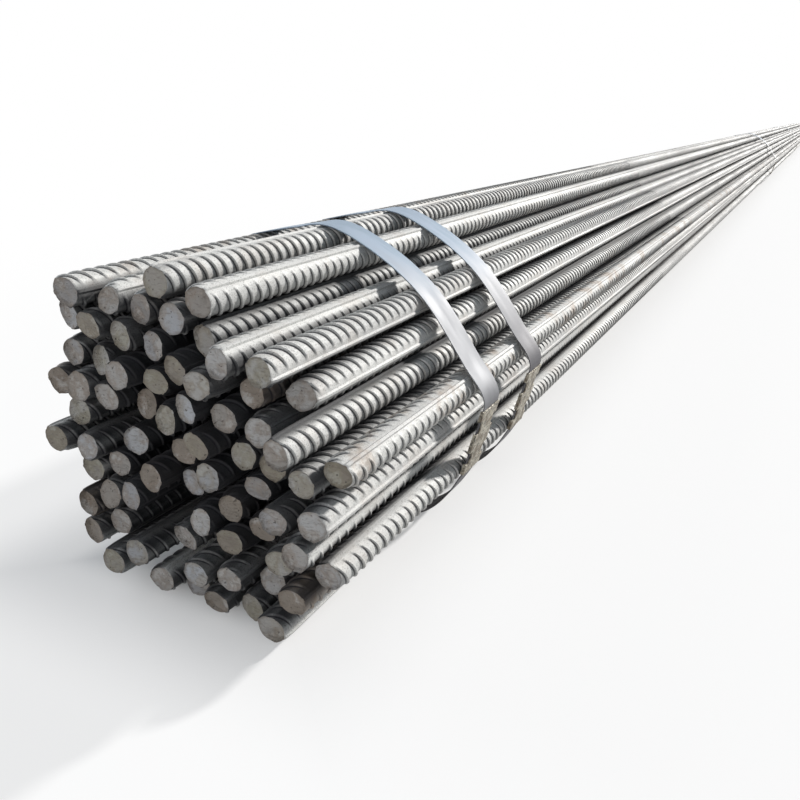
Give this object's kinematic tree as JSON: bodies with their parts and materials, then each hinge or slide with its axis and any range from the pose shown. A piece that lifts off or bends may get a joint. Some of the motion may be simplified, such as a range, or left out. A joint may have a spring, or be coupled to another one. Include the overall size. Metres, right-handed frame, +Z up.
{
  "type": "rebar bundle",
  "caption": "Strapped bundle of straight ribbed steel reinforcing bars with ragged sheared ends.",
  "frame": {"origin": "centre of the footprint, on the level that the bundle rests on", "axes": "+X along the bars, away from the end with the two close straps; +Z up"},
  "size_m": [12.1258, 0.2655, 0.2496],
  "materials": {
    "bar_steel": "matte",
    "strap_steel": "satin",
    "seal_steel": "satin"
  },
  "bodies": {
    "root": {"bars_base": "bar_steel", "bars_outer": "bar_steel", "bars_inner": "bar_steel", "strap_1": "strap_steel", "strap_2": "strap_steel", "strap_3": "strap_steel", "strap_4": "strap_steel", "seal_1": "seal_steel", "seal_2": "seal_steel", "seal_3": "seal_steel", "seal_4": "seal_steel"}
  },
  "joints": []
}
